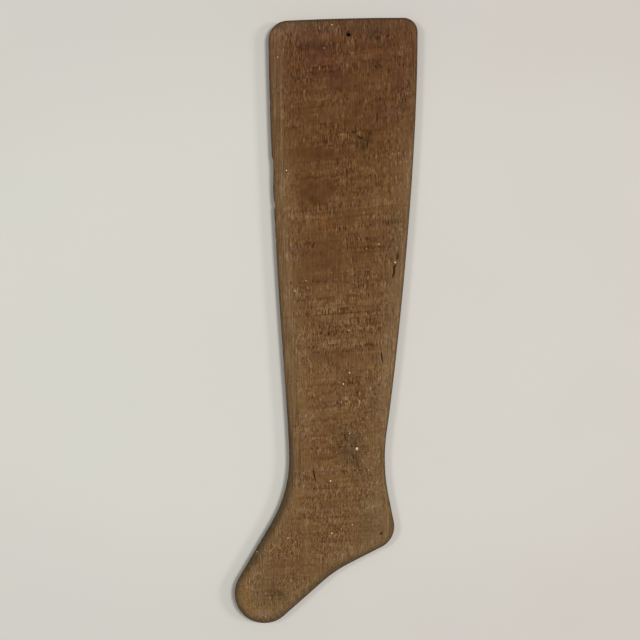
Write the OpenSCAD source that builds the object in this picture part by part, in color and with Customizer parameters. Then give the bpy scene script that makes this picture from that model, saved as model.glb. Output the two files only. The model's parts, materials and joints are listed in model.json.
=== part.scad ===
// Stocking stretcher: one sawn board cut to the outline of a leg and foot, its edges shaved
// round so that a wet stocking slides on, with a nail hole at the crown to hang it by.
// The board lies flat: +Y runs up the leg to the crown, +X is the heel side, +Z is the sawn face.

/* [Board] */
// Overall length, from the crown down to the lowest point of the toe
board_length = 660; // [560:1:800]
// Thickness of the board
board_t = 12; // [10:0.5:18]

/* [Crown] */
// Width across the crown, the open end of the stocking
crown_w = 163; // [145:0.5:185]
// Slope of the crown edge at the front corner, in degrees: it levels out towards the back corner
crown_slope = 2.8; // [0:0.1:6]
// Radius of the front corner
crown_front_r = 21.5; // [18:0.5:32]
// Radius of the back corner
crown_back_r = 15.5; // [9:0.5:28]

/* [Leg] */
// Width of the ankle at its narrowest
ankle_w = 104.5; // [90:0.5:120]
// How far the middle of the ankle stands forward of the middle of the crown
ankle_forward = 6.5; // [0:0.5:20]
// Lean of the calf where it runs into the back of the ankle, in degrees
calf_lean = 8.5; // [6:0.5:11]
// Upper pull of the calf curve: the longer, the straighter the thigh
calf_run = 155; // [100:1:200]
// Lower pull of the calf curve
calf_turn = 60; // [40:1:120]
// Lean of the shin where it runs into the crown, in degrees
shin_lean = 1; // [0:0.5:3]
// Upper pull of the shin curve: the longer, the straighter the front of the thigh
shin_run = 240; // [120:1:260]
// Lower pull of the shin curve
shin_turn = 52; // [30:1:100]

/* [Foot] */
// Radius of the hollow in front of the ankle
instep_r = 136.5; // [80:0.5:200]
// Slope of the straight over the instep, in degrees
instep_slope = 59.5; // [52:0.5:66]
// Length of that straight, down to the toe
instep_straight = 71; // [55:0.5:95]
// Radius of the toe
toe_r = 32.5; // [26:0.5:40]
// Radius of the hollow behind the ankle
achilles_r = 206; // [140:1:280]
// Flare of the straight behind the heel, in degrees
heel_flare = 11.5; // [6:0.5:16]
// Length of that straight, down to the heel
heel_straight = 28.5; // [10:0.5:45]
// Radius of the heel
heel_r = 25; // [18:0.5:32]
// Radius of the hollow under the arch
arch_r = 137; // [70:1:200]
// How far the arch rises from a straightedge laid under heel and toe
arch_lift = 7.3; // [3:0.1:9]
// Distance along that straightedge from the heel to the highest place of the arch
arch_along = 62.5; // [54:0.5:72]

/* [Shaved edge] */
// Width of the shaved band on the face along the crown
crown_shave = 4; // [2:0.5:8]
// Width of the band along the calf and behind the ankle
calf_shave = 5; // [2:0.5:8]
// Width of the band round the heel
heel_shave = 6; // [2:0.5:12]
// Width of the band along the sole
sole_shave = 10; // [3:0.5:14]
// Width of the band round the toe
toe_shave = 8; // [3:0.5:14]
// Width of the band over the instep
instep_shave = 11; // [3:0.5:14]
// Width of the band along the shin, the widest of all
shin_shave = 13; // [3:0.5:16]
// How deep the shaving cuts into the edge from the face
face_shave_d = 4.5; // [2:0.5:5]
// How far the shaved curve turns before it meets the face in a soft crest, in degrees
crest_turn = 60; // [45:5:80]
// Width of the rounding on the back
back_round_w = 5; // [2:0.5:8]
// How deep the rounding cuts into the edge from the back
back_round_d = 4; // [2:0.5:5]

/* [Nail holes] */
// Diameter of the hanging hole
hang_hole_d = 3.8; // [2:0.1:8]
// Distance of the hanging hole below the top of the crown
hang_hole_drop = 19.5; // [12:0.5:40]
// How far the hanging hole lies behind the middle of the crown
hang_hole_back = 6; // [-20:0.5:20]
// Diameter of the heel hole
heel_hole_d = 1.8; // [1.5:0.1:6]
// Distance of the heel hole from the rim of the heel
heel_hole_in = 12.5; // [10:0.5:18]
// Direction of the heel hole from the heel's centre, in degrees below level
heel_hole_dip = 34; // [0:1:60]

/* [Hidden] */
// Most degrees of turn and most length for each straight side of an arc, and the sides of each long curve
arc_step = 6;
arc_side = 8;
curve_sides = 22;
// Sides of the shaved curve on the face and of the rounding on the back
face_sides = 5;
back_sides = 4;
// How far a drill runs past each face
drill_past = 1;
hole_sides = 48;

// Edges of the leg before the board is centred: x from the crown's middle, y from the lowest toe
crown_front_x = -crown_w / 2;
crown_back_x = crown_w / 2;
ankle_front_x = -ankle_forward - ankle_w / 2;
ankle_back_x = -ankle_forward + ankle_w / 2;

// The crown edge falls evenly from level at the back corner to its slope at the front corner
crown_span = crown_w - crown_back_r - crown_front_r * (1 - sin(crown_slope));
crown_fall = crown_span * tan(crown_slope) / 2;
crown_pull = crown_span / 3;

// Height of the ankle's narrowest place above the lowest point of the toe
ankle_rise = toe_r + (toe_r + instep_r) * cos(instep_slope) + instep_straight * sin(instep_slope);

// Headings of the pencil as it goes round clockwise, in degrees: 0 is towards +X, 90 up the leg
up = 90;
down = -90;
shin_heading = up + shin_lean;
calf_heading = down - calf_lean;
heel_back_heading = down + heel_flare;
toe_low_heading = -180;
toe_tip_heading = -270;
instep_heading = -360 + instep_slope;
ankle_front_heading = -270;

// Compass centres of the outline
front_corner_y = board_length - crown_fall - crown_front_r * cos(crown_slope);
front_corner = [crown_front_x + crown_front_r, front_corner_y];
back_corner = [crown_back_x - crown_back_r, board_length - crown_back_r];
instep = [ankle_front_x - instep_r, ankle_rise];
toe = instep + (instep_r + toe_r) * right_of(instep_heading) - instep_straight * along(instep_heading);
achilles = [ankle_back_x + achilles_r, ankle_rise];
heel = achilles + (achilles_r + heel_r) * right_of(heel_back_heading)
    + heel_straight * along(heel_back_heading);

// The straightedge under heel and toe, and the hollow that rises from it
edge_heading = tangent_heading(heel, heel_r, toe, toe_r);
arch = heel + (arch_lift - arch_r - heel_r) * right_of(edge_heading) + arch_along * along(edge_heading);
heel_sole_heading = tangent_heading(heel, heel_r, arch, -arch_r);
ball_sole_heading = tangent_heading(arch, -arch_r, toe, toe_r) - 360;

// Unit vector to the right of a heading, which is the side that the board lies on
function right_of(h) = [sin(h), -cos(h)];
function along(h) = [cos(h), sin(h)];
function mix(a, b, u) = a + (b - a) * u;

// Heading of the straight line that leaves one circle and runs into the next. A round corner has
// its centre on the board and a positive radius, and a hollow has its centre off it and a negative one.
function tangent_heading(c1, r1, c2, r2) =
    let (d = c2 - c1)
    atan2(d.y, d.x) + asin((r2 - r1) / norm(d));

// A station of the outline is [x, y, heading, width of the shaved band].
// Stations round a circle, from heading h0 to h1, with both ends
function arc_stations(c, r, h0, h1, w0, w1) =
    let (turn = abs(h1 - h0), run = abs(r) * turn * PI / 180)
    let (n = ceil(max(turn / arc_step, run / arc_side)))
    [for (i = [0 : n])
        let (h = mix(h0, h1, i / n), p = c - r * right_of(h))
        [p.x, p.y, h, mix(w0, w1, i / n)]];

// Stations along a curve that leaves p at heading h0 and reaches q at heading h1, without its ends
function curve_stations(p, h0, pull0, q, h1, pull1, w) =
    let (a = p + pull0 * along(h0), b = q - pull1 * along(h1))
    [for (i = [1 : curve_sides - 1])
        let (u = i / curve_sides, v = 1 - u)
        let (s = v * v * v * p + 3 * v * v * u * a + 3 * v * u * u * b + u * u * u * q)
        let (t = v * v * (a - p) + 2 * v * u * (b - a) + u * u * (q - b))
        [s.x, s.y, atan2(t.y, t.x), w]];

function point_of(s) = [s.x, s.y];
function first_point(stations) = point_of(stations[0]);
function last_point(stations) = point_of(stations[len(stations) - 1]);

// The outline, clockwise from the highest point, on the back corner, down the calf and up the shin
back_corner_arc = arc_stations(back_corner, crown_back_r, 0, down, crown_shave, calf_shave);
achilles_arc = arc_stations(achilles, -achilles_r, calf_heading, heel_back_heading, calf_shave, heel_shave);
calf = curve_stations(last_point(back_corner_arc), down, calf_run,
    first_point(achilles_arc), calf_heading, calf_turn, calf_shave);
heel_arc = arc_stations(heel, heel_r, heel_back_heading, heel_sole_heading, heel_shave, sole_shave);
arch_arc = arc_stations(arch, -arch_r, heel_sole_heading, ball_sole_heading, sole_shave, sole_shave);
// The toe is three arcs, so that its lowest and foremost points are stations. The middle one shares its
// ends with the others and leaves them out.
under_toe_arc = arc_stations(toe, toe_r, ball_sole_heading, toe_low_heading, sole_shave, toe_shave);
tip_arc = arc_stations(toe, toe_r, toe_low_heading, toe_tip_heading, toe_shave, toe_shave);
tip_arc_inner = [for (i = [1 : len(tip_arc) - 2]) tip_arc[i]];
over_toe_arc = arc_stations(toe, toe_r, toe_tip_heading, instep_heading, toe_shave, instep_shave);
instep_arc = arc_stations(instep, -instep_r, instep_heading, ankle_front_heading, instep_shave, shin_shave);
front_corner_arc = arc_stations(front_corner, crown_front_r, shin_heading, crown_slope,
    shin_shave, crown_shave);
shin = curve_stations(last_point(instep_arc), up, shin_turn,
    first_point(front_corner_arc), shin_heading, shin_run, shin_shave);
crown_edge = curve_stations(last_point(front_corner_arc), crown_slope, crown_pull,
    first_point(back_corner_arc), 0, crown_pull, crown_shave);
outline = concat(back_corner_arc, calf, achilles_arc, heel_arc, arch_arc, under_toe_arc, tip_arc_inner,
    over_toe_arc, instep_arc, shin, front_corner_arc, crown_edge);

// Middle of the outline, which goes to the origin
xs = [for (s = outline) s.x];
ys = [for (s = outline) s.y];
middle = [(min(xs) + max(xs)) / 2, (min(ys) + max(ys)) / 2];

// Nail holes, in the same terms as the outline
hang_hole = [hang_hole_back, board_length - hang_hole_drop];
heel_hole = heel + (heel_r - heel_hole_in) * along(-heel_hole_dip);

// One ring of the board's skin: the outline drawn in by a constant width plus a share of the shaved
// band, at one height
function ring(width, share, z) =
    [for (s = outline)
        let (p = point_of(s) + (width + share * s[3]) * right_of(s[2]))
        [p.x, p.y, z]];

// The rings from the back to the face. The back rounding is a quarter ellipse, and the shaved edge is
// the first part of one, so that it meets the face in a crest.
back_rings = [for (i = [0 : back_sides])
    let (a = 90 * (1 - i / back_sides))
    ring(back_round_w * (1 - cos(a)), 0, back_round_d * (1 - sin(a)))];
face_rings = [for (i = [0 : face_sides])
    let (a = crest_turn * i / face_sides)
    let (share = (1 - cos(a)) / (1 - cos(crest_turn)), rise = sin(a) / sin(crest_turn))
    ring(0, share, board_t - face_shave_d * (1 - rise))];
rings = concat(back_rings, face_rings);

// Triangles that fill a flat ring like the rungs of a ladder, from the crown down to the toe. Point a
// goes down the back of the leg and b down the front, and the higher of the two next points is taken.
function rungs(p, a, b) =
    b - a < 2 ? [] :
    p[a + 1].y > p[b - 1].y ? concat([[a, a + 1, b]], rungs(p, a + 1, b)) :
    concat([[a, b - 1, b]], rungs(p, a, b - 1));

// The skin that joins the rings, with a flat cap on each face
module skin(rings) {
    n = len(rings[0]);
    top = len(rings) - 1;
    points = [for (r = rings) each r];
    back_cap = [for (t = rungs(rings[0], 0, n - 1)) [t[2], t[1], t[0]]];
    face_cap = [for (t = rungs(rings[top], 0, n - 1)) [for (i = t) top * n + i]];
    walls = [for (j = [0 : top - 1], i = [0 : n - 1])
        let (a = j * n + i, b = j * n + (i + 1) % n)
        each [[b, b + n, a + n], [b, a + n, a]]];
    polyhedron(points, concat(back_cap, face_cap, walls), convexity = 6);
}

module nail_hole(place, d) {
    translate([place.x, place.y, -drill_past])
        cylinder(h = board_t + 2 * drill_past, d = d, $fn = hole_sides);
}

module stretcher_board() {
    color("#6c4f33")
        translate([-middle.x, -middle.y, 0])
            difference() {
                skin(rings);
                nail_hole(hang_hole, hang_hole_d);
                nail_hole(heel_hole, heel_hole_d);
            }
}

stretcher_board();
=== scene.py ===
import json
import math

import bmesh
import bpy
import numpy as np
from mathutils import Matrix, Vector
from mathutils.bvhtree import BVHTree
from mathutils.geometry import delaunay_2d_cdt
from mathutils.kdtree import KDTree


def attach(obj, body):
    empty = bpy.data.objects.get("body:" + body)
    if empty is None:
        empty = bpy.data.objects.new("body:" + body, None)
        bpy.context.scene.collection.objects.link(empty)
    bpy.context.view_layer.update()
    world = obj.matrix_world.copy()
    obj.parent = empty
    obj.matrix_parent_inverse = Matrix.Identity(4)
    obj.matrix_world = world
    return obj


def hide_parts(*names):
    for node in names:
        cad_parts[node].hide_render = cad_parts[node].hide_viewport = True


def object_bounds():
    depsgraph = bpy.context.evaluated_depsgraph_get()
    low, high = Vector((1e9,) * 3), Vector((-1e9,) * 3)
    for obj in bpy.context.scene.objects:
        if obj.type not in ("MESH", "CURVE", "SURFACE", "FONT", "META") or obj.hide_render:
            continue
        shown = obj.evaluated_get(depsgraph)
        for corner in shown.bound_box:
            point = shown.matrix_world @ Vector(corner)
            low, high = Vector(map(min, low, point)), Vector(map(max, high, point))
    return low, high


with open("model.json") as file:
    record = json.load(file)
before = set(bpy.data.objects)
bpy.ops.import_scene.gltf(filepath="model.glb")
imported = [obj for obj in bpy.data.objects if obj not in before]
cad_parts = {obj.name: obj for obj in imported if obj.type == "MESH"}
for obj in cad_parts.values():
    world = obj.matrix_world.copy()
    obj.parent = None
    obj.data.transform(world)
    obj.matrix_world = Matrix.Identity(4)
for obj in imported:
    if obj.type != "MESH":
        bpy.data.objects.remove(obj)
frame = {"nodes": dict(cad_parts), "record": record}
cad_low, cad_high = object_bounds()

# The view from above
# The board lies flat and is looked at straight down, with its crown at the top of a square picture. The
# middle of the picture lies a little in front of the middle of the board. Sizes are in metres.
picture_span = 0.6975
picture_middle = (-0.0067, 0.0005)
widest_edge_height = 0.0075
lens_length = 85
camera = bpy.data.objects.new("camera", bpy.data.cameras.new("camera"))
camera.data.lens = lens_length
camera_rise = picture_span * lens_length / camera.data.sensor_width
camera.location = (*picture_middle, widest_edge_height + camera_rise)
scene = bpy.context.scene
scene.collection.objects.link(camera)
scene.camera = camera
scene.view_settings.view_transform = "Standard"

# The daylight
# A high window on the heel side throws a narrow shadow along the shin and a low one a wide faint shadow
# beyond it. A small window throws a shadow the other way, and the pale room all round fills the rest in.
# Each window is where its light comes from, its spread in degrees and its strength
windows = {
    "high_window": ((2.0, 0.45, 3.6), 18, 1.57),
    "low_window": ((2.05, 0.05, 1.0), 10, 0.87),
    "small_window": ((-1.55, 0.3, 1.6), 14, 0.66),
}
for name, (light_from, spread, strength) in windows.items():
    window = bpy.data.objects.new(name, bpy.data.lights.new(name, "SUN"))
    window.data.angle = math.radians(spread)
    window.data.energy = strength
    window.rotation_euler = Vector(light_from).to_track_quat("Z", "Y").to_euler()
    scene.collection.objects.link(window)
room = bpy.data.worlds.new("room")
room.use_nodes = True
room_light = room.node_tree.nodes["Background"]
room_light.inputs["Color"].default_value = (1.0, 0.99, 0.97, 1.0)
room_light.inputs["Strength"].default_value = 0.30
scene.world = room


# The table top
# A plain pale painted surface, faintly warm and uneven, with painted shade that dims it a little away from
# the board, which lies on it with its back down. It isn't part of the object, and it runs on past every view.
class Wire:
    """A socket of a node tree. Sums on it add Math nodes, and node() adds a node of any other kind."""

    def __init__(self, tree, socket=None):
        self.tree = tree
        self.socket = socket

    def node(self, kind, settings=None, inputs=None, output=0):
        made = self.tree.nodes.new(kind)
        for name, setting in (settings or {}).items():
            if name == "stops":
                self.set_stops(made.color_ramp.elements, setting)
            else:
                setattr(made, name, setting)
        for name, value in (inputs or {}).items():
            if isinstance(value, Wire):
                self.tree.links.new(value.socket, made.inputs[name])
            else:
                made.inputs[name].default_value = value
        return Wire(self.tree, made.outputs[output])

    def set_stops(self, elements, stops):
        while len(elements) < len(stops):
            elements.new(1.0)
        for element, (position, colour) in zip(elements, stops):
            element.position = position
            element.color = colour

    def into(self, socket):
        self.tree.links.new(self.socket, socket)

    def math(self, operation, *values):
        return self.node("ShaderNodeMath", {"operation": operation}, dict(enumerate(values)))

    def __add__(self, other):
        return self.math("ADD", self, other)

    def __radd__(self, other):
        return self.math("ADD", other, self)

    def __sub__(self, other):
        return self.math("SUBTRACT", self, other)

    def __rsub__(self, other):
        return self.math("SUBTRACT", other, self)

    def __mul__(self, other):
        return self.math("MULTIPLY", self, other)

    def __rmul__(self, other):
        return self.math("MULTIPLY", other, self)

    def __truediv__(self, other):
        return self.math("DIVIDE", self, other)

    def rise(self, low, high):
        """A soft step from 0 at low to 1 at high, or from 1 down to 0 if high is the smaller."""
        ends = {"Value": self, "From Min": low, "From Max": high}
        return self.node("ShaderNodeMapRange", {"interpolation_type": "SMOOTHSTEP"}, ends)

    def vector(self, operation, other):
        return self.node("ShaderNodeVectorMath", {"operation": operation}, {0: self, 1: other})

    def scaled(self, factor):
        return self.node("ShaderNodeVectorMath", {"operation": "SCALE"}, {0: self, "Scale": factor})

    def length(self):
        return self.node("ShaderNodeVectorMath", {"operation": "LENGTH"}, {0: self}, "Value")

    def part(self, axis):
        return self.node("ShaderNodeSeparateXYZ", {}, {0: self}, axis)

    def noise(self, size, detail=2.0):
        """Cloudy noise from 0 to 1, whose clouds measure about size along x, y and z."""
        spread = self.vector("DIVIDE", size)
        return self.node("ShaderNodeTexNoise", {}, {"Vector": spread, "Scale": 1.0, "Detail": detail})

    def between(self, first, second):
        """A colour that runs from the first, where this is 0, to the second, where it is 1."""
        return self.node("ShaderNodeMix", {"data_type": "RGBA"}, {0: self, 6: first, 7: second}, 2)

    def tinted(self, share, tint, way="MIX"):
        """This colour with a share of another mixed in, or multiplied by it."""
        settings = {"data_type": "RGBA", "blend_type": way}
        return self.node("ShaderNodeMix", settings, {0: share, 6: self, 7: tint}, 2)


def display(red, green, blue):
    """A colour as a screen shows it, from 0 to 255, turned into the linear colour that nodes take."""
    shares = [level / 255 for level in (red, green, blue)]
    return (*[s / 12.92 if s < 0.04045 else ((s + 0.055) / 1.055) ** 2.4 for s in shares], 1.0)


def new_material(name):
    """A plain material, with its shader node and its Object coordinates in millimetres."""
    material = bpy.data.materials.new(name)
    material.use_nodes = True
    shader = material.node_tree.nodes["Principled BSDF"]
    place = Wire(material.node_tree).node("ShaderNodeTexCoord", output="Object").scaled(1000)
    return material, shader.inputs, place


def new_piece(name, mesh, material):
    piece = bpy.data.objects.new(name, mesh)
    piece.data.materials.append(material)
    scene.collection.objects.link(piece)
    return piece


table_reach = 6.0
table_paint, shader, place = new_material("table_paint")
warm_side = display(213, 208, 200)
cool_side = display(213, 212, 203)
drift = place.part(0).rise(-300, 300)
cloud = place.noise((160, 160, 160)).rise(0.3, 0.7)
table_colour = drift.between(cool_side, warm_side).tinted(cloud * 0.3, display(216, 213, 205))
# Painted shade: the paint darkens a little away from the board, standing in for the light falling off there
painted_dim_shade = place.vector("MULTIPLY", (0.5, 1.0, 0.0)).length().rise(200, 350)
table_colour.tinted(painted_dim_shade, (0.95, 0.94, 0.95, 1.0), "MULTIPLY").into(shader["Base Color"])
shader["Roughness"].default_value = 0.85
shader["Specular IOR Level"].default_value = 0.2
table_mesh = bpy.data.meshes.new("table_top")
table_corners = [(x * table_reach, y * table_reach, 0.0) for x, y in ((-1, -1), (1, -1), (1, 1), (-1, 1))]
table_mesh.from_pydata(table_corners, [], [(0, 1, 2, 3)])
table_top = new_piece("table_top", table_mesh, table_paint)

# The board
# One plank of close-grained hardwood, half an inch thick and sawn to the outline of a leg and foot. Its edges
# are shaved round by hand, its face keeps the marks of the saw, and two nails have left their holes.
board_cad = frame["nodes"]["stretcher_board"]
thickness = cad_high.z
thickness_mm = 1000 * thickness
nail_holes = [mount for mount in frame["record"]["mounts"] if mount["kind"] == "bore"]
weld = 1e-6

# The outline is where a cut half way up the CAD board meets its edge
solid = bmesh.new()
solid.from_mesh(board_cad.data)
bmesh.ops.remove_doubles(solid, verts=solid.verts, dist=weld)
cad_skin = BVHTree.FromBMesh(solid)
whole = solid.verts[:] + solid.edges[:] + solid.faces[:]
halved = bmesh.ops.bisect_plane(solid, geom=whole, plane_co=(0, 0, thickness / 2), plane_no=(0, 0, 1))
cut_edges = {part for part in halved["geom_cut"] if isinstance(part, bmesh.types.BMEdge)}
walked = [max((end for edge in cut_edges for end in edge.verts), key=lambda end: end.co.y)]
onward = walked
while onward:
    here = walked[-1]
    onward = [edge.other_vert(here) for edge in here.link_edges if edge in cut_edges]
    onward = [end for end in onward if end not in walked]
    walked += onward[:1]
corners = np.array([end.co.xy for end in walked])
turning = corners[:, 0] * np.roll(corners[:, 1], -1) - np.roll(corners[:, 0], -1) * corners[:, 1]
if turning.sum() < 0:
    corners = corners[::-1]
solid.free()

# Stations stand evenly round the outline, anticlockwise, each with its direction out of the board
station_gap = 0.002
stations_beside = 3
lap = np.vstack([corners, corners[:1]])
length_along = np.concatenate([[0], np.cumsum(np.hypot(*np.diff(lap, axis=0).T))])
station_count = round(length_along[-1] / station_gap)
spread_along = np.arange(station_count) * length_along[-1] / station_count
stations = np.stack([np.interp(spread_along, length_along, lap[:, axis]) for axis in (0, 1)], axis=1)
ahead = np.roll(stations, -stations_beside, axis=0) - np.roll(stations, stations_beside, axis=0)
outward = np.stack([ahead[:, 1], -ahead[:, 0]], axis=1) / np.hypot(*ahead.T)[:, None]

# Splinters torn from the shin's edge: height up the leg, reach above and below it, depth
shin_tears = [
    (0.1740, 0.0040, 0.0300, 0.0015),
    (0.1250, 0.0070, 0.0045, 0.0015),
    (0.1050, 0.0045, 0.0045, 0.0005),
    (0.0870, 0.0045, 0.0045, 0.0005),
    (0.2380, 0.0045, 0.0045, 0.0005),
]
torn = np.zeros(station_count)
for height, above, below, depth in shin_tears:
    away = stations[:, 1] - height
    share = np.clip(1 - np.where(away > 0, away / above, -away / below), 0, 1)
    torn = np.maximum(torn, depth * share * (2 - share))
torn[stations[:, 0] > 0] = 0

# Rings from the back up to the face follow the CAD edge, closest together where it turns
hair = 1e-5
back_round = 0.004
face_shave = 0.0045
back_turn = np.linspace(0, 1, 6)
face_turn = np.linspace(0, 1, 11)
ring_heights = [max(back_round * turn**2, hair) for turn in back_turn]
ring_heights += [(back_round + thickness - face_shave) / 2]
ring_heights += [min(thickness - face_shave * (1 - turn) ** 2, thickness - hair) for turn in face_turn]
ray_start = 0.02


def edge_insets(height):
    """How far inside the outline the CAD edge lies at a height, at each station."""
    insets = []
    for (x, y), (out_x, out_y) in zip(stations, outward):
        start = Vector((x + ray_start * out_x, y + ray_start * out_y, height))
        insets.append(cad_skin.ray_cast(start, Vector((-out_x, -out_y, 0)))[3] - ray_start)
    return np.array(insets)


insets = np.array([edge_insets(height) for height in ring_heights])
for _ in range(2):
    insets[1:-1] = (insets[:-2] + 2 * insets[1:-1] + insets[2:]) / 4
insets = np.maximum(insets, torn)

shape = bmesh.new()
sawn_layer = shape.verts.layers.float.new("sawn")
rim_layer = shape.verts.layers.float.new("rim")
crack_layer = shape.verts.layers.float.new("crack")
end_grain_layer = shape.verts.layers.float.new("end_grain")
toe_side_layer = shape.verts.layers.float.new("toe_side")
rim_tree = KDTree(station_count)
for number, (x, y) in enumerate(stations):
    rim_tree.insert((x, y, 0), number)
rim_tree.balance()


def add_point(x, y, z, sawn=0.0, crack=0.0):
    """A point of the board, with how sawn and how cracked it is and how far it lies from the outline."""
    point = shape.verts.new((x, y, z))
    point[sawn_layer] = sawn
    point[crack_layer] = crack
    point[rim_layer] = rim_tree.find((x, y, 0))[2]
    return point


def join_rings(lower, upper):
    for i, point in enumerate(lower):
        beside = (i + 1) % len(lower)
        shape.faces.new((point, lower[beside], upper[beside], upper[i]))


rings = []
for height, ring_insets in zip(ring_heights, insets):
    ring = stations - outward * ring_insets[:, None]
    flat_height = 0.0 if height == hair else thickness if height == thickness - hair else height
    rings.append([add_point(x, y, flat_height) for x, y in ring])
for lower, upper in zip(rings, rings[1:]):
    join_rings(lower, upper)

# Cracks and torn pits in the face: depth from 0 to 1, half width, and points in millimetres
cracks = [
    (0.5, 2.8, [(78.2, 74.6), (77.8, 70.0), (76.2, 64.6)]),
    (1.0, 2.4, [(75.8, 61.4), (74.0, 57.4), (73.8, 51.5), (71.8, 46.2)]),
    (1.0, 1.0, [(-14.4, -160.0), (-13.0, -168.0), (-11.3, -176.0)]),
    (0.9, 1.0, [(59.7, -32.8), (60.3, -40.0), (61.7, -47.0)]),
    (0.6, 1.2, [(55.0, 227.4), (55.3, 220.0), (55.0, 213.2)]),
    (0.3, 0.8, [(31.6, 227.4), (31.5, 218.6)]),
    (0.25, 3.0, [(50.0, 207.0), (47.0, 204.6), (45.8, 200.6)]),
    (0.5, 1.7, [(32.8, 200.9), (36.6, 199.2), (41.0, 196.2)]),
    (0.45, 1.2, [(33.6, 197.6), (33.6, 192.0), (33.4, 186.4)]),
    (0.45, 1.2, [(40.2, 193.4), (40.4, 190.0), (40.0, 184.0)]),
    (0.5, 1.6, [(45.0, 197.6), (44.8, 193.0), (44.2, 186.0)]),
    (0.5, 0.8, [(79.6, 280.4), (79.4, 275.4)]),
    (0.6, 0.9, [(84.2, 280.6), (84.0, 275.0)]),
    (0.5, 0.8, [(90.8, 280.0), (90.6, 276.2)]),
    (0.5, 1.0, [(53.4, 278.0), (53.2, 274.6)]),
    (0.5, 1.0, [(58.0, 279.2), (58.2, 275.6)]),
    (0.5, 0.9, [(82.8, 242.6), (82.6, 237.0)]),
    (0.4, 0.9, [(86.0, 241.4), (85.8, 238.0)]),
    (0.4, 0.7, [(-15.2, 84.0), (-15.6, 77.6)]),
    (0.4, 0.8, [(22.6, 87.0), (22.8, 77.0)]),
    (0.4, 0.9, [(45.2, 104.4), (45.0, 98.6)]),
    (0.5, 1.0, [(-38.3, 42.6), (-38.5, 38.6)]),
    (0.4, 1.0, [(-0.6, -33.4), (-0.8, -39.6)]),
    (0.4, 0.8, [(50.2, -38.8), (50.0, -44.0)]),
    (0.22, 2.2, [(46.4, -100.6), (40.0, -107.0), (33.1, -112.9)]),
    (0.5, 1.0, [(18.9, -121.6), (20.6, -127.5), (22.8, -132.9)]),
    (0.4, 0.6, [(31.9, -141.3), (34.0, -156.0), (37.8, -169.7)]),
    (0.5, 0.8, [(-45.1, -259.8), (-45.0, -262.6)]),
    (0.4, 0.7, [(-55.7, -278.6), (-55.6, -281.2)]),
    (0.4, 0.7, [(-47.7, -279.2), (-47.5, -281.8)]),
]
crack_step = 1.0


def crack_lines(cracks):
    """The middle and two side lines of each crack, as lists of points, and each point's depth."""
    for depth, half_width, bends in cracks:
        bends = np.array(bends)
        along = np.concatenate([[0], np.cumsum(np.hypot(*np.diff(bends, axis=0).T))])
        count = max(3, round(along[-1] / crack_step))
        steps = np.linspace(0, along[-1], count + 1)
        middle = np.stack([np.interp(steps, along, bends[:, axis]) for axis in (0, 1)], axis=1)
        heading = np.gradient(middle, axis=0)
        side = np.stack([-heading[:, 1], heading[:, 0]], axis=1) / np.hypot(*heading.T)[:, None]
        swell = np.sin(np.pi * steps / along[-1])
        spread = side * (half_width * (0.35 + 0.65 * swell))[:, None]
        yield middle / 1000, depth * (0.3 + 0.7 * swell)
        yield (middle + spread) / 1000, 0 * swell
        yield (middle - spread) / 1000, 0 * swell


hole_sides = 24
worn_mouth = 0.0001
shave_fade = 0.003


def cover_flat(ring, height, gap, lines):
    """Covers a flat side with triangles, from its ring to the holes and cracks. Gives the holes' rings."""
    crest = KDTree(len(ring))
    for number, point in enumerate(ring):
        crest.insert(point.co, number)
    crest.balance()

    def add_flat_point(x, y, crack=0.0):
        from_crest = crest.find((x, y, height))[2]
        return add_point(x, y, height, min(1.0, from_crest / shave_fade), crack)

    fixed = list(ring)
    edges = [(i, (i + 1) % len(ring)) for i in range(len(ring))]
    mouths = []
    for hole in nail_holes:
        (hole_x, hole_y, _), radius = hole["pos_m"], hole["dims"]["r_mm"] / 1000 + worn_mouth
        turns = [2 * math.pi * i / hole_sides for i in range(hole_sides)]
        circle = [(hole_x + radius * math.cos(turn), hole_y + radius * math.sin(turn)) for turn in turns]
        mouths.append([add_flat_point(x, y) for x, y in circle])
        edges += [(len(fixed) + i, len(fixed) + (i + 1) % hole_sides) for i in range(hole_sides)]
        fixed += mouths[-1]
    for line, depths in lines:
        edges += [(len(fixed) + i, len(fixed) + i + 1) for i in range(len(line) - 1)]
        fixed += [add_flat_point(x, y, depth) for (x, y), depth in zip(line, depths)]
    taken = KDTree(len(fixed))
    for number, point in enumerate(fixed):
        taken.insert((point.co.x, point.co.y, 0), number)
    taken.balance()
    away = 1 if height > thickness / 2 else -1
    clear = 0.6 * min(gap)
    points = list(fixed)
    for row, y in enumerate(np.arange(cad_low.y, cad_high.y, gap[1])):
        for x in np.arange(cad_low.x + (row % 2) * gap[0] / 2, cad_high.x, gap[0]):
            hit = cad_skin.ray_cast(Vector((x, y, height + away)), Vector((0, 0, -away)))[0]
            on_flat = hit is not None and abs(hit.z - height) < hair
            if on_flat and taken.find((x, y, 0))[2] > clear:
                points.append(add_flat_point(x, y))
    flat = [point.co.xy for point in points]
    _, _, triangles, came_from, _, _ = delaunay_2d_cdt(flat, edges, [], 1, weld / 10)
    for triangle in triangles:
        trio = [points[came_from[corner][0]] for corner in triangle]
        in_hole = any(set(trio) <= set(mouth) for mouth in mouths)
        if not in_hole:
            shape.faces.new(trio if away > 0 else trio[::-1])
    return mouths


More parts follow.
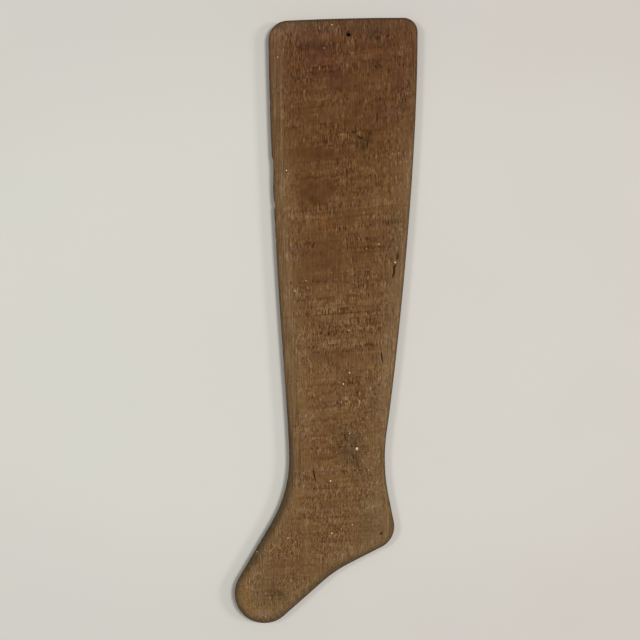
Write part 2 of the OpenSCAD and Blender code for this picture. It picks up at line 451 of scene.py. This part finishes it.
face_gap = (0.0015, 0.0010)
back_gap = (0.0024, 0.0020)
face_mouths = cover_flat(rings[-1], thickness, face_gap, list(crack_lines(cracks)))
back_mouths = cover_flat(rings[0], 0.0, back_gap, [])
for hole, face_mouth, back_mouth in zip(nail_holes, face_mouths, back_mouths):
    centre = Vector(hole["pos_m"])
    narrow = hole["dims"]["r_mm"] / 1000
    wall_heights = (2 * worn_mouth, thickness / 2, thickness - 2 * worn_mouth)
    walls = [back_mouth]
    for height in wall_heights:
        spokes = [(point.co - centre).xy.normalized() * narrow for point in back_mouth]
        walls.append([add_point(centre.x + spoke.x, centre.y + spoke.y, height) for spoke in spokes])
    walls.append(face_mouth)
    for lower, upper in zip(walls, walls[1:]):
        join_rings(upper, lower)
bmesh.ops.recalc_face_normals(shape, faces=shape.faces)
shape.normal_update()
for point in shape.verts:
    point[end_grain_layer] = abs(point.normal.y)
    point[toe_side_layer] = max(0.0, -point.normal.x)
board_mesh = bpy.data.meshes.new("board")
shape.to_mesh(board_mesh)
shape.free()
board_mesh.shade_smooth()

# The colour of the wood runs from red brown at the crown to olive brown at the foot. All sizes and places in
# the patterns are in millimetres, and front is 1 on the sawn face and 0 on the back.
wood, shader, place = new_material("aged_wood")
x, y, z = [place.part(axis) for axis in range(3)]
front = z.rise(0.4 * thickness_mm, 0.6 * thickness_mm)


def attribute(place, name):
    return place.node("ShaderNodeAttribute", {"attribute_name": name}, output="Fac")


def saw_level(place, slant, fan):
    """Places measured along the saw's strokes, which rise to the right and fan out towards the crown."""
    rise = (slant + fan * place.part(1)) * place.part(0)
    return place.vector("SUBTRACT", place.node("ShaderNodeCombineXYZ", {}, {1: rise}))


def saw_bands(level, pitch, wander):
    """The bands that the saw left across the board: each one's number, and how far down it a point lies."""
    back_shift = 7.3
    sway = level.noise((150, 20, 150), 1.0) - 0.5
    under = level.part(2).math("LESS_THAN", level.part(2), thickness_mm / 2)
    band = (wander * sway - level.part(1)) / pitch + back_shift * under
    return band.math("FLOOR", band), band.math("FRACT", band)


def chance(number, seed):
    """A chance number from 0 to 1 for each whole number."""
    return number.node("ShaderNodeTexWhiteNoise", {"noise_dimensions": "1D"}, {"W": number + seed})


def spots(place, ragged, places):
    """Soft ragged spots, 1 in the middle and 0 outside. Each place is x, y and the reach along each."""
    shares = 0.0
    for spot_x, spot_y, reach_x, reach_y in places:
        away = place.vector("SUBTRACT", (spot_x, spot_y, 0)).vector("DIVIDE", (reach_x, reach_y, 1000))
        share = (away.length() + ragged).rise(1.3, 0.3)
        shares = share.math("MAXIMUM", share, shares)
    return shares


# Bands and rows of the saw, with torn fibres as short dashes along the grain. The cuts and rows have their y
# measured along the saw's strokes, and the planed and torn places have it up the board.
saw_pitch = 12.6
saw_slant = 0.08
saw_fan = 0.0001
saw_wander = 12.0
fibre_width = 1.7
saw_cuts = [
    (-23, 233.0, 19, 0.9),
    (65, 118.8, 17, 1.1),
    (43, 39.3, 28, 1.3),
    (13, 6.4, 70, 0.8),
    (5, -182.5, 36, 1.0),
    (3, -214.0, 48, 0.8),
    (15, -240.9, 22, 1.0),
    (-57, -262.0, 14, 1.0),
    (-64, -296.2, 20, 1.0),
]
torn_rows = [
    (-1, 271.1, 20, 1.6),
    (57, 270.3, 8, 2.0),
    (-36, 212.4, 8, 2.0),
    (-4, 195.6, 25, 2.0),
    (-7, 157.1, 26, 1.6),
    (73, 101.3, 11, 3.0),
    (48, 75.7, 26, 2.0),
    (-16, 43.4, 32, 1.6),
    (9, -7.3, 17, 1.5),
    (4, -14.0, 42, 1.8),
    (48, -29.4, 15, 1.8),
    (6, -69.6, 38, 1.8),
    (1, -93.4, 20, 1.6),
    (5, -107.3, 25, 1.8),
    (0, -149.0, 22, 1.8),
]
pale_rows = [
    (-55, 318, 9, 8),
    (71, 314, 15, 5),
    (62, 250, 16, 7),
    (10, 241, 50, 4),
    (-38, 241, 10, 10),
    (-50, 236, 10, 16),
    (-10, 204, 22, 4),
    (-34, 164, 10, 5),
    (64, 134, 20, 7),
    (10, 130, 12, 5),
    (-40, 128, 12, 5),
    (52, 122, 28, 11),
    (5, 113, 0.8, 9),
    (-10, 112, 20, 8),
    (50, 95, 20, 9),
    (57, 49, 18, 6),
    (36, 13, 30, 7),
    (-20, 10, 22, 6),
    (-18, 4, 15, 7),
    (5, 3, 75, 3.5),
    (-30, -8, 10, 18),
    (12, -25, 45, 4),
    (-22, -30, 13, 7),
    (-5, -65, 14, 3),
    (37, -89, 20, 10),
    (5, -99, 45, 5),
    (-20, -100, 15, 8),
    (-27, -118, 12, 5),
    (-24, -181, 9, 7),
    (48, -202, 16, 7),
    (-18, -205, 24, 6),
    (33, -206, 8, 6),
    (-8, -210, 9, 7),
    (-14, -219, 15, 7),
    (14, -245, 20, 4),
    (-70, -315, 18, 7),
]
planed_places = [
    (-12, 297, 13, 9),
    (53, 267, 8, 6),
    (22, 259, 20, 12),
    (32, 228, 9, 13),
    (-19, 224, 8, 9),
    (25, 218, 11, 8),
    (-9, 181, 26, 8),
    (-14, 140, 27, 18),
    (-2, 66, 32, 24),
    (66, -9, 6, 6),
    (8, -40, 25, 8),
]
torn_places = [
    (-5, 319, 25, 7),
    (62, 312, 26, 14),
    (-42, 308, 14, 14),
    (76, 284, 12, 14),
    (72, 105, 13, 24),
    (-18, -32, 20, 44),
    (-18, -76, 18, 24),
    (52, -80, 10, 12),
    (30, -92, 18, 12),
    (-24, -112, 12, 18),
    (-84, -290, 12, 14),
]

# Where a point lies among the saw's bands, and the torn fibre that hangs there
sawn = attribute(place, "sawn")
rim = attribute(place, "rim") * 1000
level = saw_level(place, saw_slant, saw_fan)
band, down_band = saw_bands(level, saw_pitch, saw_wander)
ragged = place.noise((9, 14, 9), 3.0) * 1.6 - 0.8
column = (x + 3 * level.noise((4, 40, 4), 1.0)) / fibre_width
across = column.math("FRACT", column)
cell = column.node("ShaderNodeCombineXYZ", {}, {0: column.math("FLOOR", column), 1: band})
luck = cell.node("ShaderNodeTexWhiteNoise", {"noise_dimensions": "2D"}, {"Vector": cell}, "Color")
fibre_end = 0.15 + 0.7 * luck.part(0)
fibre = 4 * across * (1 - across) * down_band.rise(fibre_end, fibre_end - 0.3) * (luck.part(1) - 0.55)
hanging = level.vector("ADD", level.node("ShaderNodeCombineXYZ", {}, {1: 2.6 * luck.part(2) - 0.8}))

# The marks at their places, and how torn the wood is
saw_cut = spots(level, 0.4 * ragged, saw_cuts) * front
torn_row = spots(hanging, 0.3 * ragged, torn_rows) * front
pale_row = spots(level, ragged, pale_rows) * front
planed = spots(place, ragged, planed_places) * front
foot_share = y.rise(-20, -160)
patchy = level.noise((30, 12, 30), 2.0).rise(0.35, 0.65)
torn_edge = down_band.rise(0.65, 0.05) * (0.25 + 0.75 * chance(band, 8))
torn_share = 0.35 + 0.15 * foot_share + 0.8 * patchy + 0.35 * torn_edge + 0.3 * torn_row
torn_share = torn_share + 0.5 * spots(place, ragged, torn_places) * front
leg_share = y.rise(290, 60)
shin_share = x.rise(-15, -35) * (1 - foot_share)
tearing = (1 - (1 - sawn) * (0.1 + 0.2 * shin_share)) * (1 - 0.75 * planed) * torn_share

# Dashes, specks and streaks along the grain, streaks and clouds along the strokes, and the lines of the saw
torn_shift = place.node("ShaderNodeCombineXYZ", {}, {1: chance(band, 3) * 60 - 0.0004 * y * y})
dash = place.vector("ADD", torn_shift).noise((1.0, 4.8, 1.0), 1.5) - 0.5
speck = place.noise((0.8, 1.5, 0.8), 1.0) - 0.5
fine_streak = place.noise((1.1, 40, 1.1), 1.0) - 0.5
long_streak = place.noise((5, 120, 5), 1.0) - 0.5
saw_streak = level.noise((150, 2.8, 150), 2.0) - 0.5
fleece = level.noise((13, 8, 13), 1.0) - 0.5
cloud = place.noise((50, 50, 20), 2.0) - 0.5
line_break = place.noise((15, 4, 15), 2.0).rise(0.38, 0.62)
saw_line = down_band.rise(0.17, 0.02) * chance(band, 8) * line_break * sawn * (1 - planed)
band_tone = (chance(band, 5) - 0.5) * sawn

# The curl of the grain round a small knot, and the sides that hands have rubbed
knot = (37.4, -80.5)
knot_rim = spots(place, 0.5 * ragged, [(*knot, 5.5, 6.5)])
knot_heart = spots(place, 0.5 * ragged, [(*knot, 3.2, 4.0)])
curl = knot_rim - 1.2 * knot_heart
side_reach = rim + 24 * fleece + 16 * saw_streak
side_share = (0.25 + 0.75 * leg_share + 0.6 * shin_share * (1 - leg_share)) * (1 - 0.5 * foot_share)
handled = side_reach.rise(30, 3) * side_share * front

# How bare the wood looks: 0 is dirt in torn fibres, 0.5 the plain wood and 1 a bleached fibre
bare = 0.5 + (1.2 - 0.35 * foot_share) * dash * tearing + (0.35 - 0.27 * foot_share) * fibre * tearing
bare = bare + (0.45 + 0.15 * foot_share) * speck * tearing
bare = bare + (1.1 - 0.85 * sawn) * fine_streak
bare = bare + (1 - 0.3 * foot_share) * (0.1 * long_streak + 0.3 * fleece + 0.2 * cloud)
bare = bare + (0.14 + 0.14 * leg_share) * saw_streak * sawn * (1 - planed)
bare = bare + 0.06 * band_tone - 0.1 * saw_line
bare = bare - (0.13 - 0.04 * foot_share) * saw_cut - (0.15 - 0.05 * foot_share) * torn_row
bare = bare + 0.08 * pale_row - 0.08 * planed
bare = bare + 0.1 * handled - 0.25 * curl * front
crown_wood = place.node(
    "ShaderNodeValToRGB",
    {
        "stops": [
            (0.00, display(46, 25, 8)),
            (0.25, display(73, 43, 18)),
            (0.50, display(96, 62, 32)),
            (0.75, display(119, 85, 50)),
            (1.00, display(146, 114, 79)),
        ]
    },
    {0: bare},
)
foot_wood = place.node(
    "ShaderNodeValToRGB",
    {
        "stops": [
            (0.00, display(50, 30, 12)),
            (0.25, display(82, 54, 27)),
            (0.50, display(109, 79, 47)),
            (0.75, display(132, 104, 70)),
            (1.00, display(158, 132, 100)),
        ]
    },
    {0: bare},
)
colour = ((y + 160) / 450).between(foot_wood, crown_wood)

# Stains: wine red and smoke near the crown, soot and scorched brown in the torn fibres, honey where the wood
# is worn, ash where it has bleached, olive at the heel and toe, ruddy at the ankle
wine_places = [(-12, 289, 20, 28), (83, 257, 7, 24), (72, 228, 22, 12), (12, 264, 14, 18)]
soot_places = [
    (54, 314, 9, 10),
    (26.5, 313.5, 4, 4),
    (54, 276, 9, 5),
    (84.5, 240, 5, 7),
    (46, 196, 4, 8),
    (41, 194, 11, 12),
    (77.4, 69.5, 3, 5),
    (24, -136, 20, 22),
    (29, -147, 11, 16),
    (-52, -298, 12, 9),
]
smoke_places = [(-14, 301, 18, 9), (49, 312, 9, 7), (-14, 323, 32, 8)]
scorched_places = [(47.4, 204.6, 4.0, 3.0), (37.2, 198.6, 4.6, 1.6)]
honey_places = [(-3, 106, 10, 8), (-30, -191, 7, 8), (-87, -288, 7, 22), (-84, -312, 10, 8)]
ash_places = [(91, 162, 4, 9), (-18, -75, 24, 46), (-88, -298, 12, 24)]
olive_places = [(52, -212, 22, 36), (-70, -290, 24, 30)]
ruddy_places = [(-5, -138, 28, 28), (-16, -72, 16, 24)]
patches = ragged + 1.2 * fleece
colour = colour.tinted(spots(place, patches, wine_places) * front * 0.5, (0.84, 0.66, 1.05, 1.0), "MULTIPLY")
soot = spots(place, ragged, soot_places) * front * (0.5 - 0.8 * dash)
colour = colour.tinted(soot, (0.42, 0.46, 0.44, 1.0), "MULTIPLY")
scorch = spots(place, 0.5 * ragged, scorched_places) * front
colour = colour.tinted(scorch, (0.55, 0.42, 0.30, 1.0), "MULTIPLY")
colour = colour.tinted(spots(place, patches, smoke_places) * front, (0.83, 0.91, 0.94, 1.0), "MULTIPLY")
colour = colour.tinted(spots(place, patches, honey_places) * front * 0.6, (1.20, 1.06, 0.70, 1.0), "MULTIPLY")
colour = colour.tinted(spots(place, patches, ash_places) * front * 0.25, display(132, 104, 68))
colour = colour.tinted(spots(place, patches, olive_places) * front * 0.8, (1.0, 1.10, 1.20, 1.0), "MULTIPLY")
colour = colour.tinted(spots(place, patches, ruddy_places) * front, (0.99, 0.91, 0.86, 1.0), "MULTIPLY")

# Age has turned the wood unevenly, here ruddy and there grey
hue = level.noise((9, 6, 9), 2.0)
colour = colour.tinted(hue.rise(0.48, 0.78), (1.02, 1.01, 0.78, 1.0), "MULTIPLY")
colour = colour.tinted(hue.rise(0.52, 0.22), (1.00, 0.99, 1.24, 1.0), "MULTIPLY")

# Hands have left the sides paler and greyer. Dirt has darkened the end grain. The rim is darker, partly from
# dirt and partly from painted shade: widest on the instep and the sole, and thin and dark on the calf.
colour = colour.tinted(handled * 0.27, display(126, 107, 80))
end_grain = attribute(place, "end_grain").rise(0.2, 0.9)
instep = y.rise(-125, -180) * y.rise(-300, -245) * attribute(place, "toe_side").rise(0.0, 0.3)
sole = (0.61 * x - 0.79 * y).rise(206, 220)
rim_reach = 2.6 + 3.5 * foot_share * x.rise(50, 20) + 3.5 * sole + 6 * instep + 6 * (fine_streak + fleece)
# Painted shade and dirt together: the rim is darkened partly for dirt and partly to stand in for shade
rim_dirt_and_shade = (1 - rim / rim_reach).rise(-0.1, 0.9) * (0.45 + 0.55 * z.rise(3, 8))
colour = colour.tinted(end_grain * 0.4, display(50, 37, 22))
calf = x.rise(25, 55) * y.rise(-230, -200)
rim_dirt_and_shade = rim_dirt_and_shade * (0.45 + 0.1 * foot_share + 0.1 * instep + 0.25 * calf)
colour = colour.tinted(rim_dirt_and_shade, display(56, 50, 38))
# Darker along the top of the crown
colour = colour.tinted(y.rise(306, 328) * 0.25, display(70, 48, 30))
colour = colour.tinted(y.rise(220, 300), (1.00, 0.99, 1.16, 1.0), "MULTIPLY")

# Rust has bled from the nails, and the cracks have filled with dirt
rust = 0.0
for hole in nail_holes:
    hole_x, hole_y, _ = (1000 * metres for metres in hole["pos_m"])
    halo = hole["dims"]["r_mm"] * 1.5
    ring = spots(place, 0.3 * ragged, [(hole_x + 0.2 * halo, hole_y + 0.3 * halo, 1.2 * halo, 1.4 * halo)])
    rust = ring.math("MAXIMUM", ring, rust)
colour = colour.tinted(rust * 0.6, display(28, 21, 16))
crack = attribute(place, "crack")
colour = colour.tinted(crack.rise(0.0, 0.4), display(50, 30, 15))
colour.into(shader["Base Color"])
(0.8 - 0.16 * bare).into(shader["Roughness"])
shader["Specular IOR Level"].default_value = 0.08
height = 0.12 * dash * tearing + 0.05 * fine_streak + 0.03 * place.noise((0.5, 2.5, 0.5), 2.0)
bump = place.node("ShaderNodeBump", {}, {"Strength": 0.6, "Distance": 0.001, "Height": height})
bump.into(shader["Normal"])
board = new_piece("board", board_mesh, wood)


# The saw, the plane and the knife have left their marks in the surface itself
def new_tree(name, inputs):
    """A tree of Geometry Nodes for a mesh and named values. Gives the tree and a wire for each input."""
    tree = bpy.data.node_groups.new(name, "GeometryNodeTree")
    tree.interface.new_socket("Mesh", in_out="INPUT", socket_type="NodeSocketGeometry")
    for input_name, kind in inputs.items():
        tree.interface.new_socket(input_name, in_out="INPUT", socket_type=kind)
    tree.interface.new_socket("Mesh", in_out="OUTPUT", socket_type="NodeSocketGeometry")
    entry = tree.nodes.new("NodeGroupInput")
    return tree, {socket.name: Wire(tree, socket) for socket in entry.outputs if socket.name}


def end_tree(made, material):
    """Ends a tree of Geometry Nodes with a plain mesh of one material."""
    real = made.node("GeometryNodeRealizeInstances", {}, {0: made})
    coated = real.node("GeometryNodeSetMaterial", {}, {"Geometry": real, "Material": material})
    coated.into(made.tree.nodes.new("NodeGroupOutput").inputs[0])


def apply_tree(piece, tree, values):
    """Runs a tree on a piece with its named values, and keeps the result as the piece's own plain mesh."""
    maker = piece.modifiers.new("maker", "NODES")
    maker.node_group = tree
    for socket in tree.interface.items_tree:
        if socket.in_out == "INPUT" and socket.name in values:
            maker[socket.identifier] = values[socket.name]
    evaluated = bpy.context.evaluated_depsgraph_get()
    made = bpy.data.meshes.new_from_object(
        piece.evaluated_get(evaluated), preserve_all_data_layers=True, depsgraph=evaluated
    )
    piece.modifiers.remove(maker)
    piece.data = made


marks = {
    "Saw pitch": saw_pitch,
    "Saw slant": saw_slant,
    "Saw fan": saw_fan,
    "Saw wander": saw_wander,
    "Face wear": 0.22,
    "Band depth": 0.16,
    "Line depth": 0.22,
    "Tear depth": 0.16,
    "Shave ripple": 0.15,
    "Crack depth": 1.4,
}
marks_tree, given = new_tree("tool_marks", {name: "NodeSocketFloat" for name in marks})
place = given["Mesh"].node("GeometryNodeInputPosition").scaled(1000)
sawn, crack = [
    place.node("GeometryNodeInputNamedAttribute", {"data_type": "FLOAT"}, {"Name": name})
    for name in ("sawn", "crack")
]
level = saw_level(place, given["Saw slant"], given["Saw fan"])
band, down_band = saw_bands(level, given["Saw pitch"], given["Saw wander"])
scallop = 4 * down_band * (1 - down_band) * (0.3 + 0.7 * chance(band, 5)) * given["Band depth"]
groove = down_band.rise(0.16, 0.02) * chance(band, 8) * given["Line depth"]
tear = place.noise((2.6, 9, 2.6), 2.0) * given["Tear depth"]
ripple = place.noise((8, 60, 8), 2.0) * given["Shave ripple"]
normal = place.node("GeometryNodeInputNormal")
wear = normal.part(2).rise(0.3, 0.8) * given["Face wear"]
depth = sawn * (scallop + groove + tear) + (1 - sawn) * ripple + wear + crack * given["Crack depth"]
inwards = normal.scaled(depth * -0.001)
end_tree(place.node("GeometryNodeSetPosition", {}, {"Geometry": given["Mesh"], "Offset": inwards}), wood)
apply_tree(board, marks_tree, marks)
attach(board, "root")
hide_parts("stretcher_board")

# Paint flecks
# Spatters of old cream paint that landed on the face and dried there as flat drops, some worn down to a dot.
# Each is x, y and width in millimetres, and sits on the wood where it fell.
fleck_spots = [
    (6.2, 321.5, 1.9),
    (-2.1, 296.1, 1.6),
    (-52.4, 286.2, 1.8),
    (54.2, 235.1, 1.2),
    (-43.2, 163.2, 2.0),
    (41.2, 117.4, 1.6),
    (57.3, 82.9, 1.9),
    (43.8, 78.3, 1.4),
    (48.3, 77.1, 1.3),
    (75.1, 63.2, 2.3),
    (5.9, 52.0, 1.4),
    (-22.2, 43.4, 1.6),
    (-33.4, 32.2, 1.7),
    (25.0, -10.7, 1.9),
    (25.4, -56.9, 2.1),
    (18.7, -69.1, 2.2),
    (53.2, -83.5, 1.2),
    (25.4, -123.1, 1.8),
    (33.4, -139.4, 3.3),
    (11.6, -143.6, 1.5),
    (39.6, -152.1, 1.6),
    (46.1, -162.1, 1.6),
    (4.7, -174.6, 2.2),
    (28.5, -222.2, 1.8),
    (6.2, -231.3, 2.4),
    (-41.5, -236.4, 1.7),
    (-33.5, -240.8, 1.5),
    (-75.1, -252.0, 1.5),
    (-5.4, -259.3, 1.4),
    (-36.5, -292.9, 1.0),
]
cream, shader, place = new_material("old_paint")
stain = place.noise((1.5, 1.5, 1.5), 2.0).rise(0.3, 0.7)
stain.between(display(235, 215, 178), display(205, 178, 138)).into(shader["Base Color"])
shader["Roughness"].default_value = 0.6
fleck_mesh = bpy.data.meshes.new("paint_flecks")
fleck_mesh.from_pydata([(x / 1000, y / 1000, 2 * thickness) for x, y, _ in fleck_spots], [], [])
widths = fleck_mesh.attributes.new("width", "FLOAT", "POINT")
widths.data.foreach_set("value", [width / 1000 for _, _, width in fleck_spots])
flecks = new_piece("paint_flecks", fleck_mesh, cream)
drops = {"Board": board, "Flatness": 0.1, "Sunk": 0.00006, "Seed": 4}
drop_kinds = {
    "Board": "NodeSocketObject",
    "Flatness": "NodeSocketFloat",
    "Sunk": "NodeSocketFloat",
    "Seed": "NodeSocketInt",
}
drops_tree, given = new_tree("dried_drops", drop_kinds)
start = given["Mesh"]
board_skin = start.node("GeometryNodeObjectInfo", {}, {"Object": given["Board"]}, "Geometry")
landed = start.node(
    "GeometryNodeRaycast",
    {},
    {"Target Geometry": board_skin, "Ray Direction": (0.0, 0.0, -1.0), "Ray Length": 1.0},
    "Hit Position",
)
sunk = start.node("ShaderNodeCombineXYZ", {}, {2: 0 - given["Sunk"]})
seated = start.node(
    "GeometryNodeSetPosition", {}, {"Geometry": start, "Position": landed, "Offset": sunk}
)
width = start.node("GeometryNodeInputNamedAttribute", {"data_type": "FLOAT"}, {"Name": "width"})
turn = start.node(
    "FunctionNodeRandomValue", {"data_type": "FLOAT"}, {2: 0.0, 3: 2 * math.pi, "Seed": given["Seed"]}, 1
)
squeeze = start.node(
    "FunctionNodeRandomValue", {"data_type": "FLOAT"}, {2: 0.6, 3: 1.0, "Seed": given["Seed"] + 1}, 1
)
drop_scale = start.node(
    "ShaderNodeCombineXYZ", {}, {0: width, 1: width * squeeze, 2: width * given["Flatness"]}
)
drop = start.node("GeometryNodeMeshIcoSphere", {}, {"Radius": 0.5, "Subdivisions": 2})
placed = start.node(
    "GeometryNodeInstanceOnPoints",
    {},
    {
        "Points": seated,
        "Instance": drop,
        "Rotation": start.node("ShaderNodeCombineXYZ", {}, {2: turn}),
        "Scale": drop_scale,
    },
)
end_tree(placed, cream)
apply_tree(flecks, drops_tree, drops)
flecks.data.shade_smooth()
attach(flecks, "root")
